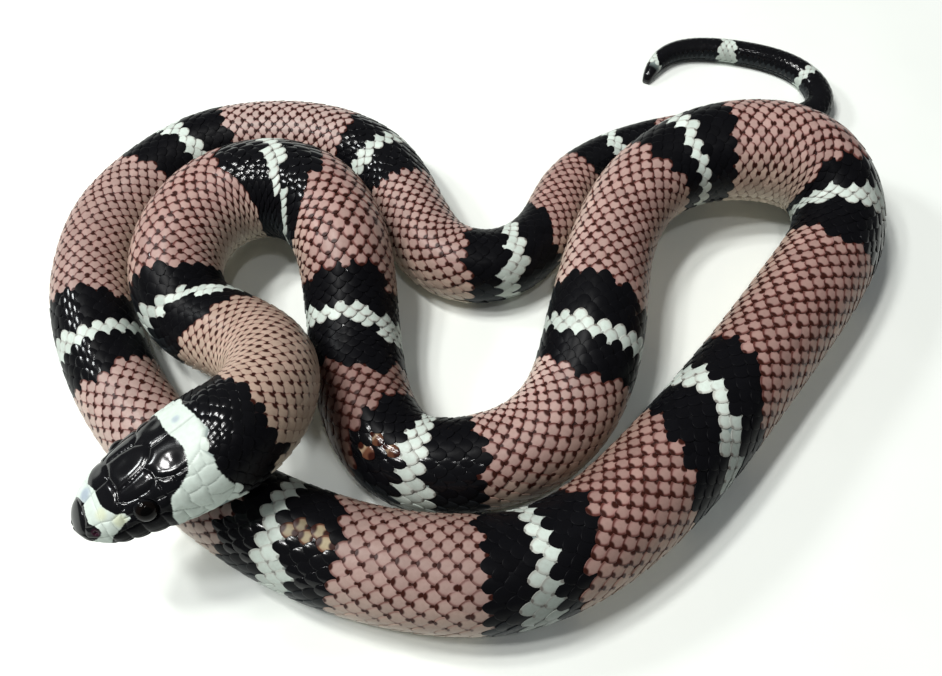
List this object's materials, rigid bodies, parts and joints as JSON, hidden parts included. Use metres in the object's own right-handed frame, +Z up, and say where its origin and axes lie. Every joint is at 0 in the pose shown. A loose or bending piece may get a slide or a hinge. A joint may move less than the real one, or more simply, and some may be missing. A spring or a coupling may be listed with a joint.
{
  "type": "milk snake model",
  "caption": "Life-size still model of a banded milk snake lying in loose coils, its neck raised over the front coil and its head resting beyond it.",
  "frame": {"origin": "centre of the bounding box, on the floor that the belly rests on", "axes": "+X across the coils, from the head's side to the right loop; +Z up; the picture looks along +Y from above the -Y side"},
  "size_m": [0.1412, 0.1197, 0.0304],
  "materials": {
    "body_scales": "satin scales, pink with black and white rings",
    "head_shields": "glossy black shields with a white collar and a white band across the snout",
    "eye": "wet gloss"
  },
  "bodies": {
    "root": {"head": "head_shields", "eye_left": "eye", "eye_right": "eye", "neck": "body_scales", "torso_1": "body_scales", "torso_2": "body_scales", "torso_3": "body_scales", "torso_4": "body_scales", "torso_5": "body_scales", "torso_6": "body_scales", "torso_7": "body_scales", "torso_8": "body_scales", "torso_9": "body_scales", "torso_10": "body_scales", "torso_11": "body_scales", "torso_12": "body_scales", "torso_13": "body_scales", "tail_1": "body_scales", "tail_2": "body_scales", "tail_3": "body_scales"}
  },
  "joints": []
}
